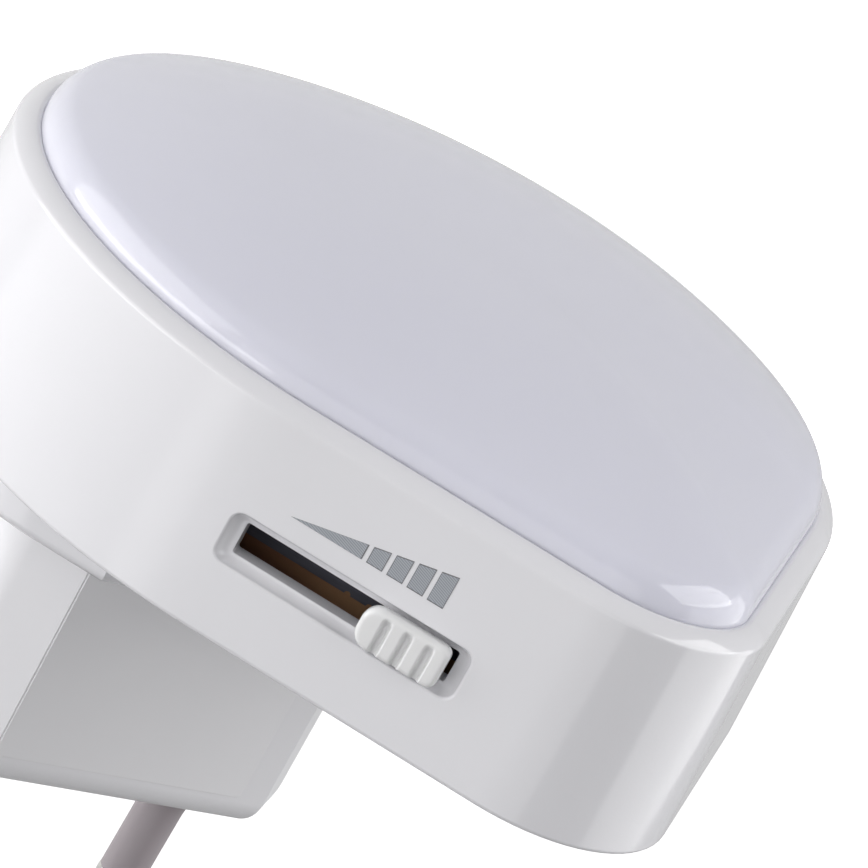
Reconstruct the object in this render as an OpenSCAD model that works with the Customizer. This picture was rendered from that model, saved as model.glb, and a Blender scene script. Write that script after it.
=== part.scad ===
// Plug-in night light: a drop-shaped head with a domed opal diffuser and a slide dimmer,
// carried on a two-pin plug body by a short plinth.
// In use +Z is up, the diffuser faces -Y and the pins point to +Y into the wall socket.
// The origin lies midway between the two pins, on the face of the plug.
// Sub-parts are drawn flat, in the plane of the wall, and rise towards the room:
// as_used() then stands them up, so that a height h lies at Y = -h.

/* [Head] */
// Radius of the round part of the head
head_r = 35; // [30:0.5:45]
// Radius of the rounded tip at the top
tip_r = 12; // [9:0.5:15]
// Thickness of the head from its back to its front face
head_t = 17.6; // [17.5:0.1:24]
// How much the wall leans in between its back and its front
wall_draft = 0.9; // [0.3:0.1:1.2]
// Rounding of the front edge
edge_r = 1.6; // [0.5:0.1:1.7]
// How far that rounding runs down the wall
edge_drop = 1.2; // [0.5:0.1:1.7]
// Width of the rim around the diffuser, which is the wall at the front
rim_w = 1.8; // [1.6:0.1:2.6]
// Thickness of the back plate
cover_t = 1.2; // [1:0.1:1.8]
// Height from the middle of the plug up to the middle of the head
head_up = 11.7; // [8:0.1:14]

/* [Diffuser] */
// Wall of the diffuser
lens_t = 1.6; // [1:0.1:2.2]
// Rounding of the diffuser's shoulder
shoulder_r = 2.7; // [1.7:0.1:3.2]
// Rise of the dome above its shoulder
dome_rise = 4.6; // [3:0.1:7]
// Depth of the skirt that pushes into the head
skirt = 4.2; // [3:0.1:5]

/* [Plug] */
// Distance from the face of the plug to the plinth
plug_len = 22.5; // [19:0.5:28]
// Width of the plug's flats
plug_flat = 26.1; // [25.6:0.1:26.6]
// Thickness of the plug across its flats
plug_t = 13.7; // [13:0.1:14.4]
// Rounding of the plug's two ends
plug_end_r = 5; // [4:0.1:5.5]
// Rounding around the face of the plug
plug_edge_r = 2.8; // [1:0.1:3]
// Wall of the plug body
plug_wall = 1.5; // [1.2:0.1:1.8]
// Height of the plinth behind the head
plinth_len = 11.5; // [8:0.5:16]
// How far the plinth stands out around the plug
plinth_grow = 5; // [4:0.1:6]

/* [Pins] */
// Diameter of the bare metal of each pin
pin_d = 4.0; // [3.9:0.05:4.1]
// Distance between the pins at the face of the plug
pin_gap = 18.6; // [18:0.1:19.2]
// Length of each pin outside the plug
pin_len = 19; // [18.5:0.1:19.5]
// How far each pin leans inwards over its length
pin_lean = 0.55; // [0:0.05:0.8]
// Length of the insulating sleeve on each pin
sleeve_len = 10; // [9:0.5:11]
// Diameter of the sleeve
sleeve_d = 3.65; // [3.5:0.05:3.65]

/* [Dimmer] */
// Length of the slot in the wall
slot_len = 16.9; // [15:0.1:19]
// Height of the slot
slot_w = 2.4; // [2:0.1:2.8]
// Middle of the slot, measured along the flat side from its lower end
slot_along = 8.6; // [6:0.1:10]
// Middle of the slot above the back of the head
slot_up = 7.3; // [6.8:0.05:7.4]
// Depth of the hollow around the slot
hollow_depth = 0.9; // [0.5:0.05:1.2]
// Width of the hollow's sloping border along the slot
hollow_border = 0.8; // [0.4:0.05:1]
// Width of that border at both ends of the slot
hollow_end = 1.2; // [0.6:0.05:1.4]
// Length of the thumb piece
knob_len = 6.6; // [5:0.1:8]
// Height of the thumb piece
knob_w = 3.3; // [2.6:0.1:3.4]
// How far the thumb piece stands out of the wall
knob_proud = 1.0; // [0.7:0.05:1.5]

/* [Electronics] */
// Radius of the light board
led_board_r = 23; // [15:0.5:24]
// Number of light chips on the outer ring
led_count = 8; // [4:1:12]
// Thickness of both circuit boards
board_t = 1.2; // [0.8:0.1:1.6]
// Diameter of the reservoir capacitor
can_d = 8; // [6:0.5:8.5]
// Length of the reservoir capacitor
can_len = 11.5; // [8:0.5:13]
// Diameter of the wires
wire_d = 1.4; // [1:0.1:1.6]

/* [Hidden] */
$fn = 96;
loft_fn = 64;          // facets of the outlines that a hull joins
arc_step = 5;          // degrees between the points of the head's outline
slice = 0.02;          // thickness of those outlines
fit = 0.1;             // clearance of parts that push together
play = 0.3;            // clearance of parts that move past each other
seam = 0.05;           // clearance of a sleeve on a pin and a pin in its hole

back_h = plug_len + plinth_len;      // heights above the face of the plug: back of the head,
face_h = back_h + head_t;            // its front face
floor_h = back_h + cover_t;          // and the inside of its back plate
cavity = wall_draft + rim_w;         // inset of the head's hollow from its back outline
lens_in = cavity + fit;              // inset of the diffuser's skirt
ledge_h = face_h - skirt - board_t;  // top of the ledge that the tray rests on
back_r = 0.4;                        // softened back edge of the wall
cover_in = 1.1;                      // inset of the recess that the back plate sits in
ledge_t = 1.5;
ledge_w = 1.4;
tray_h = ledge_h + board_t;          // top of the tray, where the skirt and the light board rest
tray_rim = 2.5;
tray_wall = 1;
shoulder_end = 65;                   // degrees, where the shoulder runs into the dome
chip_w = 2.8;
chip_t = 0.8;
boss_r = 3.8;                        // posts for the cover screws
boss_in = 0.5;                       // how far the posts sink into the wall
well_r = boss_r - boss_in - play;
low_screw_angle = 20;                // the two lower cover screws, below the middle of the head
screw_d = 2.2;
screw_head_d = 4.2;
screw_head_t = 1.6;
screw_len = 8;
recess_wall = 1.0;                   // plate left under a sunk screw head
small_d = 1.6;                       // the smaller screws inside
small_head_d = 2.8;
small_head_t = 0.9;
well_t = screw_head_t + recess_wall;

// The slot frame: x outwards from the wall, y along the slot towards the tip, z to the room
flat_r = head_r - wall_draft * slot_up / head_t;
slot_h = back_h + slot_up;
hollow_len = slot_len + 2 * hollow_end;
hollow_w = slot_w + 2 * hollow_border;
hollow_r = 1;
slot_r = 0.2;
// At rest the thumb piece is at the upper end; slot_len - knob_len - 2 * play takes it to the lower
knob_y = slot_along + slot_len / 2 - play - knob_len / 2;
knob_r = 0.8;
knob_back = 0.1;                     // how far the thumb piece reaches into the hollow
rib_pitch = 1.65;
rib_shift = 0.2;                     // the grooves sit this far towards the tip
groove_w = 0.5;
groove_depth = 0.65;
stem_len = 4;
stem_w = slot_w - 2 * play;
tongue_len = stem_len - 1.2;         // blade of the lever, which the stem takes in
tongue_w = 0.8;
tongue_top = 0.1;
wall_in = cavity - head_r + flat_r;  // depth of the wall behind the slot's mouth
case_front = wall_in + play;         // depths of the slide control behind the wall
track_front = case_front + 3.2;
track_t = 0.8;
sheet_t = 0.4;
case_back = track_front + track_t + sheet_t;
case_len = slot_len + 4;
case_w = slot_w + 4;
ear_len = 3.4;                       // fixing ears at both ends of the slide control
ear_front = case_front + 1.2;
ear_y = [for (s = [-1, 1]) slot_along + s * (case_len + ear_len) / 2];
ear_post_r = 1.6;
ear_screw_len = 3.2;
ear_hole_len = ear_screw_len + small_d / 2 - sheet_t - small_head_t + 1.2;
carriage_front = case_front + 0.4;
carriage_back = track_front - 0.9;
carriage_len = knob_len - 0.8;
carriage_w = case_w - 2 * sheet_t - 2 * play;
film_t = 0.1;                        // thickness of the carbon film
film_lo = -1.5;
film_hi = 1.2;
film_notches = [7.9, 9.65];
terminal_gap = 2.4;
terminal_y = [for (i = [-1:1]) slot_along - case_len / 2 + 5 + i * terminal_gap];
terminal_out = 2.2;
finger_z = [-1.2, 0.3];
print_t = 0.06;                      // thickness of the printed scale
scale_start = 2.6;                   // place of the scale along the flat side
scale_end = 14.6;
scale_base = 10.85;                  // its height above the back of the head
scale_slope = 0.21;
scale_gap = 0.35;
bar_from = 8.55;
bar_count = 4;

plinth_wall = 1.8;
plinth_floor = 2.6;                  // rear wall of the plinth
plug_half = plug_flat / 2 + plug_t / 2 - sqrt(2) * plug_end_r + plug_end_r;
plug_floor = 2;                      // wall at the face of the plug
flange_t = 1.4;                      // rim of the plug body inside the plinth
flange_grow = plinth_grow - plinth_wall - play;
flange_h = plug_len + plinth_floor;
flange_screw_x = plug_half + flange_grow / 2;
carrier_t = 4;
collar_d = 5.6;
collar_t = 0.8;
core_d = 2.8;                        // pin inside its sleeve
pin_tail = plug_floor + carrier_t + collar_t;
flare_d = pin_d + 0.4;
flare_len = 3;
lean_angle = atan(pin_lean / pin_len);
lug_t = 0.6;
lug_reach = 5;
lug_x = pin_gap / 2 - lug_reach;     // where the wires meet the lugs
lug_top = pin_tail + lug_t + 0.2;
carrier_w = pin_gap + 8.4;

power_h = back_h - 2.5;              // back of the power board, in the plinth
power_top = power_h + board_t;
power_w = plug_flat + 8;
rib_x = 12;                          // ribs in the plinth that carry the board
rib_w = 4;
rib_y = plug_t / 2 + 0.5;
rib_foot = flange_h + flange_t + play;
rib_screw_y = plug_t / 2 + 1.4;
rib_screw_len = 4;
box_w = 11;                          // film capacitor
box_d = 6;
box_len = 10.5;
box_x = 7.5;
can_x = -10;
rectifier_at = [8, -3];
label_w = 23.4;
label_len = plug_len - 4.2;
label_x = 1.2;
label_pocket = 0.2;
label_t = 0.3;
label_h = 3.2;

cover_screws = [[0, head_up + sqrt(2) * (head_r - tip_r) + tip_r - cavity - boss_r + boss_in],
    for (s = [-1, 1]) [0, head_up]
        + (head_r - cavity - boss_r + boss_in) * [s * cos(low_screw_angle), -sin(low_screw_angle)]];
tray_screws = [for (a = [90, 210, 330]) head_mid() + (led_board_r - 3) * [cos(a), sin(a)]];
wire_hole = [0, 2];

// Middle of the drop outline, between its bottom and its tip
function head_mid() = [0, head_up + (sqrt(2) * (head_r - tip_r) + tip_r - head_r) / 2];

// Inset of the outside wall at a height h
function lean(h) = wall_draft * (h - back_h) / head_t;

// Stands a drawing up: its x stays, its y becomes +Z and its height becomes -Y
module as_used() {
    rotate([90, 0, 0]) children();
}

// Moves to the slot frame: x outwards, y along the slot, z towards the room
module at_slot() {
    translate([0, head_up, 0]) rotate([0, 0, 45]) translate([flat_r, 0, slot_h]) children();
}

// A block in the slot frame between two depths, centred at y with length l and width w
module slot_block(front, back, y, l, w) {
    translate([-back, y - l / 2, -w / 2]) cube([back - front, l, w]);
}

// Drop outline of the head, moved in by inset: the big arc, then the arc round the tip
function drop_outline(inset = 0) = let (
        r = head_r - inset,
        t = max(tip_r - inset, 0.5)
    ) concat(
        [for (a = [135:arc_step:405]) [r * cos(a), head_up + r * sin(a)]],
        [for (a = [45:arc_step:135]) [t * cos(a), head_up + sqrt(2) * (r - t) + t * sin(a)]]);

// The drop outline as a solid between two heights
module drop_block(inset, h0, h1) {
    translate([0, 0, h0]) linear_extrude(h1 - h0) polygon(drop_outline(inset));
}

// A ring of points on the drop outline at a height, shrunk about the middle of the head
function drop_ring(inset, h, shrink = 1) = [for (p = drop_outline(inset))
    let (q = head_mid() + shrink * (p - head_mid())) [q[0], q[1], h]];

// Rings up one side of the diffuser, t below its outside, with a shoulder of radius r
function dome_rings(t, r) = let (
        base = face_h + shoulder_r - t - r,
        edge = lens_in + t + r * (1 - cos(shoulder_end))
    ) [
        drop_ring(lens_in + t, tray_h),
        for (a = [0:shoulder_end / 4:shoulder_end])
            drop_ring(lens_in + t + r * (1 - cos(a)), base + r * sin(a)),
        for (k = [0.94, 0.86, 0.76, 0.62, 0.42, 0.12])
            drop_ring(edge, base + r * sin(shoulder_end) + dome_rise * (1 - k * k * k), k)
    ];

// One closed solid through a list of rings of points
module skin(rings) {
    n = len(rings);
    sides = len(rings[0]);
    polyhedron([for (r = rings) each r], concat(
        [[for (k = [0:sides - 1]) k]],
        [for (i = [0:n - 2], k = [0:sides - 1]) let (a = i * sides, b = (k + 1) % sides)
            each [[a + k, a + sides + k, a + sides + b], [a + k, a + sides + b, a + b]]],
        [[for (k = [0:sides - 1]) n * sides - 1 - k]]
    ));
}

// Outline of the plug, with flats, 45 degree chamfers and round ends, grown by g
module plug_outline(g = 0) {
    h = plug_t / 2 + g;
    f = plug_flat / 2 + g * tan(22.5);
    r = plug_end_r + g;
    e = plug_flat / 2 + plug_t / 2 - sqrt(2) * plug_end_r;
    c = r / sqrt(2);
    polygon([[f, h], [e + c, c], [e + c, -c], [f, -h], [-f, -h], [-e - c, -c], [-e - c, c], [-f, h]]);
    for (s = [-1, 1]) translate([s * e, 0]) circle(r);
}

// The plug outline as a solid between two heights
module plug_block(g, h0, h1) {
    translate([0, 0, h0]) linear_extrude(h1 - h0) plug_outline(g);
}

// A rounded bar lying flat, l by w, with corner radius r
module round_bar(l, w, r) {
    square([l - 2 * r, w], center = true);
    square([l, w - 2 * r], center = true);
    for (x = [-1, 1], y = [-1, 1]) translate([x * (l / 2 - r), y * (w / 2 - r)]) circle(r, $fn = 32);
}

// A sheet-metal screw pointing down from its head at height 0
module screw(d, l, head_d, head_t) {
    translate([0, 0, -head_t]) difference() {
        cylinder(d = head_d, h = head_t, $fn = 48);
        for (a = [0, 90]) rotate(a)
            translate([-head_d * 0.3, -head_d * 0.07, head_t * 0.4])
                cube([head_d * 0.6, head_d * 0.14, head_t]);
    }
    translate([0, 0, -l]) cylinder(d = d, h = l - head_t, $fn = 32);
    translate([0, 0, -l - d / 2]) cylinder(d1 = d * 0.3, d2 = d, h = d / 2, $fn = 32);
}

function unit(v) = v / norm(v);

// A wire through a list of points, as one closed tube with a ring at each point
module wire(points, d = wire_d) {
    n = len(points);
    ahead = [for (i = [0:n - 2]) unit(points[i + 1] - points[i])];
    skin([for (i = [0:n - 1]) let (
            along = unit(ahead[max(i - 1, 0)] + ahead[min(i, n - 2)]),
            u = unit(cross(along, [1, -1, 0.2])),
            v = cross(along, u)
        ) [for (a = [0:36:324]) points[i] + d / 2 * (cos(a) * u + sin(a) * v)]]);
}

// One pin's own frame: the pin runs along the height axis, with its outer end below
module at_pin(side) {
    translate([side * pin_gap / 2, 0, 0]) rotate([0, side * lean_angle, 0]) children();
}

// Screw wells and screw holes sit at each cover screw
module at_cover_screws() {
    for (p = cover_screws) translate([p[0], p[1], back_h]) children();
}

module front_housing() {
    color("white") as_used() difference() {
        union() {
            difference() {
                skin([drop_ring(back_r, back_h), drop_ring(lean(back_h + back_r), back_h + back_r),
                    for (a = [0:22.5:90])
                        drop_ring(lean(face_h) + edge_r * (1 - cos(a)), face_h - edge_drop * (1 - sin(a)))]);
                drop_block(cavity, floor_h - 1, face_h + 1);
                drop_block(cover_in, back_h - 1, floor_h);
            }
            difference() {
                drop_block(cavity - boss_in, ledge_h - ledge_t, ledge_h);
                drop_block(cavity + ledge_w, ledge_h - ledge_t - 1, ledge_h + 1);
            }
            at_cover_screws() translate([0, 0, well_t + fit])
                cylinder(r = boss_r, h = ledge_h - back_h - well_t - fit);
            at_slot() for (y = ear_y) translate([-ear_front, y, 0]) rotate([0, 90, 0])
                cylinder(r = ear_post_r, h = ear_front - wall_in + boss_in, $fn = 32);
        }
        at_cover_screws() cylinder(d = screw_d + 2 * seam, h = screw_len + 1.5);
        at_slot() {
            for (y = ear_y) translate([-ear_front - 1, y, 0]) rotate([0, 90, 0])
                cylinder(d = small_d + 2 * seam, h = ear_hole_len, $fn = 32);
            translate([-cavity - 1, slot_along, 0]) rotate([90, 0, 90]) linear_extrude(cavity + 2)
                round_bar(slot_len, slot_w, slot_r);
            hull() {
                translate([0, slot_along, 0]) rotate([90, 0, 90]) linear_extrude(1)
                    round_bar(hollow_len, hollow_w, hollow_r);
                translate([-hollow_depth, slot_along, 0]) rotate([90, 0, 90]) linear_extrude(slice)
                    round_bar(slot_len + fit, slot_w + fit, slot_r + fit / 2);
            }
        }
    }
}

module diffuser_lens() {
    inner = dome_rings(lens_t, 1);
    color("whitesmoke") as_used()
        skin(concat([for (i = [len(inner) - 1:-1:0]) inner[i]], dome_rings(0, shoulder_r)));
}

module rear_cover() {
    color("white") as_used() difference() {
        union() {
            drop_block(cover_in + fit, back_h, floor_h);
            difference() {
                drop_block(cavity + fit, floor_h - 0.5, back_h + well_t - seam);
                drop_block(cavity + ledge_w, floor_h - 1, floor_h + well_t);
            }
            at_cover_screws() cylinder(r = well_r, h = well_t);
            plug_block(plinth_grow, plug_len, back_h + 0.5);
        }
        difference() {
            plug_block(plinth_grow - plinth_wall, flange_h, floor_h + well_t);
            for (x = [-1, 1], y = [-1, 1])
                translate([x * rib_x - rib_w / 2, y > 0 ? rib_y : -rib_y - plinth_grow, rib_foot])
                    cube([rib_w, plinth_grow, power_h - rib_foot]);
        }
        plug_block(fit, plug_len - 1, flange_h + 1);
        for (s = [-1, 1]) {
            translate([s * flange_screw_x, 0, plug_len + 0.6])
                cylinder(d = small_d + 2 * seam, h = plinth_floor, $fn = 32);
            translate([s * rib_x, s * rib_screw_y, power_h - rib_screw_len])
                cylinder(d = small_d + 2 * seam, h = 5, $fn = 32);
        }
        at_cover_screws() {
            translate([0, 0, -1]) cylinder(d = screw_head_d + 2 * fit, h = 1 + screw_head_t);
            cylinder(d = screw_d + 2 * fit, h = well_t + 1);
        }
    }
}

module cover_screws() {
    color("silver") as_used() at_cover_screws() rotate([180, 0, 0])
        screw(screw_d, screw_len, screw_head_d, screw_head_t);
}

module plug_body() {
    color("white") as_used() difference() {
        union() {
            hull() {
                for (a = [0:22.5:90])
                    translate([0, 0, plug_edge_r * (1 - cos(a))]) linear_extrude(slice)
                        plug_outline(-plug_edge_r * (1 - sin(a)), $fn = loft_fn);
                plug_block(0, flange_h, flange_h + flange_t, $fn = loft_fn);
            }
            plug_block(flange_grow, flange_h, flange_h + flange_t);
        }
        plug_block(-plug_wall, plug_floor, flange_h + flange_t + 1);
        for (s = [-1, 1]) {
            at_pin(s) translate([0, 0, -1]) cylinder(d = flare_d + 2 * seam, h = plug_floor + 2);
            translate([s * flange_screw_x, 0, flange_h - 1]) cylinder(d = small_d + 2 * fit, h = 4, $fn = 32);
        }
        translate([label_x - label_w / 2 - fit, plug_t / 2 - label_pocket, label_h - fit])
            cube([label_w + 2 * fit, plug_t, label_len + 2 * fit]);
    }
}

module pin_carrier() {
    color("ivory") as_used() difference() {
        intersection() {
            plug_block(-plug_wall - fit, plug_floor, plug_floor + carrier_t);
            translate([-carrier_w / 2, -plug_t, 0]) cube([carrier_w, 2 * plug_t, plug_len]);
        }
        for (s = [-1, 1]) at_pin(s) cylinder(d = core_d + 2 * seam, h = plug_len);
    }
}

// One pin: a core that runs through the sleeve and the carrier, and a bare round end
module pin(side) {
    color("silver") as_used() at_pin(side) {
        translate([0, 0, -sleeve_len - 1]) cylinder(d = core_d, h = sleeve_len + 1 + pin_tail + lug_t + 0.4);
        translate([0, 0, -pin_len + pin_d / 2]) {
            cylinder(d = pin_d, h = pin_len - pin_d / 2 - sleeve_len);
            sphere(d = pin_d);
        }
        translate([0, 0, plug_floor + carrier_t + fit]) cylinder(d = collar_d, h = collar_t - fit);
    }
}

module pin_left() {
    pin(-1);
}

module pin_right() {
    pin(1);
}

// The insulating sleeve, flared where it enters the plug
module pin_sleeve(side) {
    color("lightgray") as_used() at_pin(side) difference() {
        union() {
            translate([0, 0, -sleeve_len]) cylinder(d = sleeve_d, h = sleeve_len);
            translate([0, 0, -flare_len]) cylinder(d1 = sleeve_d, d2 = flare_d, h = flare_len);
            cylinder(d = flare_d, h = plug_floor - fit);
        }
        translate([0, 0, -sleeve_len - 1]) cylinder(d = core_d + 2 * seam, h = sleeve_len + plug_floor + 2);
    }
}

module pin_sleeve_left() {
    pin_sleeve(-1);
}

module pin_sleeve_right() {
    pin_sleeve(1);
}

module pin_lugs() {
    color("khaki") as_used() for (s = [-1, 1]) at_pin(s) translate([0, 0, pin_tail]) difference() {
        union() {
            cylinder(d = collar_d, h = lug_t);
            translate([s > 0 ? -lug_reach - 1 : 0, -1.5, 0]) cube([lug_reach + 1, 3, lug_t]);
        }
        translate([0, 0, -1]) cylinder(d = core_d + 2 * seam, h = lug_t + 2);
    }
}

module plug_screws() {
    color("silver") as_used() for (s = [-1, 1])
        translate([s * flange_screw_x, 0, flange_h + flange_t + small_head_t])
            screw(small_d, flange_t + small_head_t + plinth_floor - 1.5, small_head_d, small_head_t);
}

module rating_plate() {
    color("gainsboro") as_used() translate([label_x - label_w / 2, plug_t / 2 - label_pocket, label_h])
        cube([label_w, label_t, label_len]);
}

module reflector_tray() {
    color("white") as_used() difference() {
        union() {
            drop_block(lens_in, ledge_h, tray_h);
            drop_block(lens_in + lens_t + play, ledge_h, tray_h + tray_rim);
            for (p = tray_screws) translate([p[0], p[1], ledge_h - 4]) cylinder(r = 2.5, h = 4.5);
        }
        drop_block(lens_in + lens_t + play + tray_wall, tray_h, tray_h + tray_rim + 1);
        translate([wire_hole[0], wire_hole[1], ledge_h - 1]) cylinder(d = 8, h = board_t + 2);
        for (p = tray_screws) translate([p[0], p[1], ledge_h - 5])
            cylinder(d = small_d + 2 * seam, h = 10, $fn = 32);
    }
}

module led_board() {
    color("white") as_used() difference() {
        translate([head_mid()[0], head_mid()[1], tray_h]) cylinder(r = led_board_r, h = board_t);
        for (p = tray_screws) translate([p[0], p[1], tray_h - 1])
            cylinder(d = small_d + 2 * fit, h = 4, $fn = 32);
    }
}

module led_chips() {
    color("khaki") as_used() translate([head_mid()[0], head_mid()[1], tray_h + board_t]) {
        for (i = [0:led_count - 1]) rotate((i + 0.5) * 360 / led_count)
            translate([led_board_r * 0.6, 0, 0]) linear_extrude(chip_t) square(chip_w, center = true);
        linear_extrude(chip_t) square(chip_w, center = true);
    }
}

module led_board_screws() {
    color("silver") as_used() for (p = tray_screws) translate([p[0], p[1], tray_h + board_t + small_head_t])
        screw(small_d, 6, small_head_d, small_head_t);
}

module slider_knob() {
    color("white") as_used() at_slot() difference() {
        union() {
            translate([-knob_back, knob_y, 0]) rotate([90, 0, 90]) linear_extrude(knob_back + knob_proud)
                round_bar(knob_len, knob_w, knob_r);
            slot_block(0, wall_in + 0.2, knob_y, stem_len, stem_w);
        }
        for (i = [-1:1]) slot_block(-knob_proud - 1, groove_depth - knob_proud,
            knob_y + rib_shift + i * rib_pitch, groove_w, 2 * knob_w);
        slot_block(tongue_top - seam, wall_in + 1, knob_y, tongue_len + 2 * seam, tongue_w + 2 * seam);
    }
}

module slider_lever() {
    color("silver") as_used() at_slot()
        slot_block(tongue_top, carriage_front + 1, knob_y, tongue_len, tongue_w);
}

module wiper_carriage() {
    color("dimgray") as_used() at_slot() difference() {
        slot_block(carriage_front, carriage_back, knob_y, carriage_len, carriage_w);
        slot_block(carriage_front - 1, carriage_front + 1 + seam, knob_y,
            tongue_len + 2 * seam, tongue_w + 2 * seam);
    }
}

// A leaf on the carriage with two bent fingers that run on the carbon film
module wiper_spring() {
    leaf = 0.15;
    reach = track_front - film_t - fit - carriage_back;
    color("goldenrod") as_used() at_slot() {
        slot_block(carriage_back, carriage_back + leaf, knob_y, carriage_len - 1, 3);
        for (z = finger_z) translate([-carriage_back, knob_y, z]) linear_extrude(0.6)
            polygon([[0, 2], [-leaf, 2], [-reach, -0.8], [-reach, -1.4],
                [leaf - reach, -1.4], [leaf - reach, -0.8]]);
    }
}

module potentiometer_case() {
    color("silver") as_used() at_slot() difference() {
        union() {
            slot_block(case_front, case_back, slot_along, case_len, case_w);
            slot_block(ear_front, ear_front + sheet_t, slot_along, case_len + 2 * ear_len, case_w);
        }
        slot_block(case_front - 1, case_back - sheet_t, slot_along,
            case_len - 2 * sheet_t, case_w - 2 * sheet_t);
        slot_block(case_front, case_back + 1, terminal_y[1], 3 * terminal_gap, 3);
        for (y = ear_y) translate([-case_back, y, 0]) rotate([0, 90, 0])
            cylinder(d = small_d + 2 * fit, h = case_back, $fn = 32);
    }
}

module potentiometer_board() {
    color("sienna") as_used() at_slot() slot_block(track_front, track_front + track_t, slot_along,
        case_len - 2 * sheet_t - 2 * seam, case_w - 2 * sheet_t - 2 * seam);
}

// The film that the wiper runs on, with two trimming cuts in its edge
module carbon_track() {
    color("slategray") as_used() at_slot() difference() {
        translate([-track_front, slot_along - case_len / 2 + 1, film_lo])
            cube([film_t, case_len - 2, film_hi - film_lo]);
        for (y = film_notches) translate([-track_front - 1, y, film_lo]) rotate([0, 90, 0])
            cylinder(d = 0.5, h = 2, $fn = 24);
    }
}

module potentiometer_terminals() {
    color("silver") as_used() at_slot() for (y = terminal_y)
        slot_block(track_front + track_t, case_back + terminal_out, y, 1, 0.4);
}

module potentiometer_screws() {
    color("silver") as_used() at_slot() for (y = ear_y)
        translate([-ear_front - sheet_t - small_head_t, y, 0]) rotate([0, -90, 0])
            screw(small_d, ear_screw_len, small_head_d, small_head_t);
}

// A wedge that grows along the slot and goes on as bars, printed on the wall
module dimmer_scale() {
    bar_w = (scale_end - bar_from + scale_gap) / bar_count - scale_gap;
    color("gray") as_used() at_slot() rotate([0, -atan(wall_draft / head_t), 0]) rotate([90, 0, 90])
        translate([0, scale_base - slot_up]) linear_extrude(print_t) {
            polygon([[scale_start, 0], [bar_from - scale_gap, 0],
                [bar_from - scale_gap, scale_slope * (bar_from - scale_gap - scale_start)]]);
            for (i = [0:bar_count - 1]) {
                from = bar_from + i * (bar_w + scale_gap);
                to = from + bar_w;
                polygon([[from, 0], [to, 0], [to, scale_slope * (to - scale_start)],
                    [from, scale_slope * (from - scale_start)]]);
            }
        }
}

module power_board() {
    color("darkgreen") as_used() difference() {
        intersection() {
            plug_block(flange_grow, power_h, power_top);
            translate([-power_w / 2, -power_w, power_h - 1]) cube([power_w, 2 * power_w, board_t + 2]);
        }
        for (s = [-1, 1]) translate([s * rib_x, s * rib_screw_y, power_h - 1])
            cylinder(d = small_d + 2 * fit, h = 4, $fn = 32);
    }
}

module power_board_screws() {
    color("silver") as_used() for (s = [-1, 1])
        translate([s * rib_x, s * rib_screw_y, power_top + small_head_t])
            screw(small_d, board_t + small_head_t + rib_screw_len - 1.2, small_head_d, small_head_t);
}

module film_capacitor() {
    color("firebrick") as_used() translate([box_x, 0, power_h - box_len]) linear_extrude(box_len)
        round_bar(box_w, box_d, 1);
}

module reservoir_capacitor() {
    color("midnightblue") as_used() translate([can_x, 0, power_h]) rotate([180, 0, 0]) difference() {
        cylinder(d = can_d, h = can_len);
        translate([0, 0, 1.5]) rotate_extrude() translate([can_d / 2 + 0.2, 0]) circle(0.7, $fn = 24);
        for (a = [0, 90]) rotate(a) translate([-can_d * 0.35, -0.2, can_len - 0.2])
            cube([can_d * 0.7, 0.4, 1]);
    }
}

module bridge_rectifier() {
    color("#303030") as_used() translate([rectifier_at[0], rectifier_at[1], power_top]) {
        translate([-3.2, -2.4, 0.8]) cube([6.4, 4.8, 2.4]);
        for (x = [-1, 1], y = [-1, 1]) translate([x * 2.2 - 0.4, y * 2.9 - 0.5, 0]) cube([0.8, 1, 1.4]);
    }
}

// A resistor lying along x on the power board, with both leads bent down to it
module resistor(at, l, d) {
    lead = 0.7;
    translate([at[0], at[1], power_top + d / 2 + 0.2]) {
        translate([-l / 2, 0, 0]) rotate([0, 90, 0]) cylinder(d = d, h = l);
        translate([-l / 2 - 1.5, 0, 0]) rotate([0, 90, 0]) cylinder(d = lead, h = l + 3, $fn = 24);
        for (s = [-1, 1]) translate([s * (l / 2 + 1.5), 0, 0]) {
            sphere(d = lead, $fn = 24);
            translate([0, 0, -d / 2 - 0.2]) cylinder(d = lead, h = d / 2 + 0.2, $fn = 24);
        }
    }
}

module fusible_resistor() {
    color("seagreen") as_used() resistor([-7, 5.5], 9, 3.4);
}

module discharge_resistor() {
    color("tan") as_used() resistor([-7, -5.5], 6.5, 2.4);
}

module live_wire() {
    color("brown") as_used()
        wire([[lug_x, 0, lug_top], [lug_x, 0, lug_top + 4], [-0.5, 0, lug_top + 9], [-0.5, 0, power_h]]);
}

module neutral_wire() {
    color("royalblue") as_used()
        wire([[-lug_x, 0, lug_top], [-lug_x, 0, lug_top + 8], [-4, 0, lug_top + 11], [-4, 0, power_h]]);
}

module led_wires() {
    color("crimson") as_used() for (s = [-1, 1]) {
        x = wire_hole[0] + s * 1.5;
        wire([[s * 2 - 1, -8, power_top], [s * 2 - 1, -8, floor_h + 3],
            [x, wire_hole[1], ledge_h - 4], [x, wire_hole[1], tray_h]]);
    }
}

// Two wires from the outer terminals down to the power board
module dimmer_wires() {
    r = flat_r - case_back - terminal_out + 0.5;
    color("gold") as_used() for (i = [0, 2]) {
        y = terminal_y[i];
        out = [(r - y) / sqrt(2), head_up + (r + y) / sqrt(2)];
        x = 14 - 1.2 * i;
        wire([[out[0], out[1], slot_h - 0.9], [out[0] - 2, out[1] - 2, slot_h - 2.5],
            [x, 6, floor_h + 4], [x, 6, power_top]]);
    }
}

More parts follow.
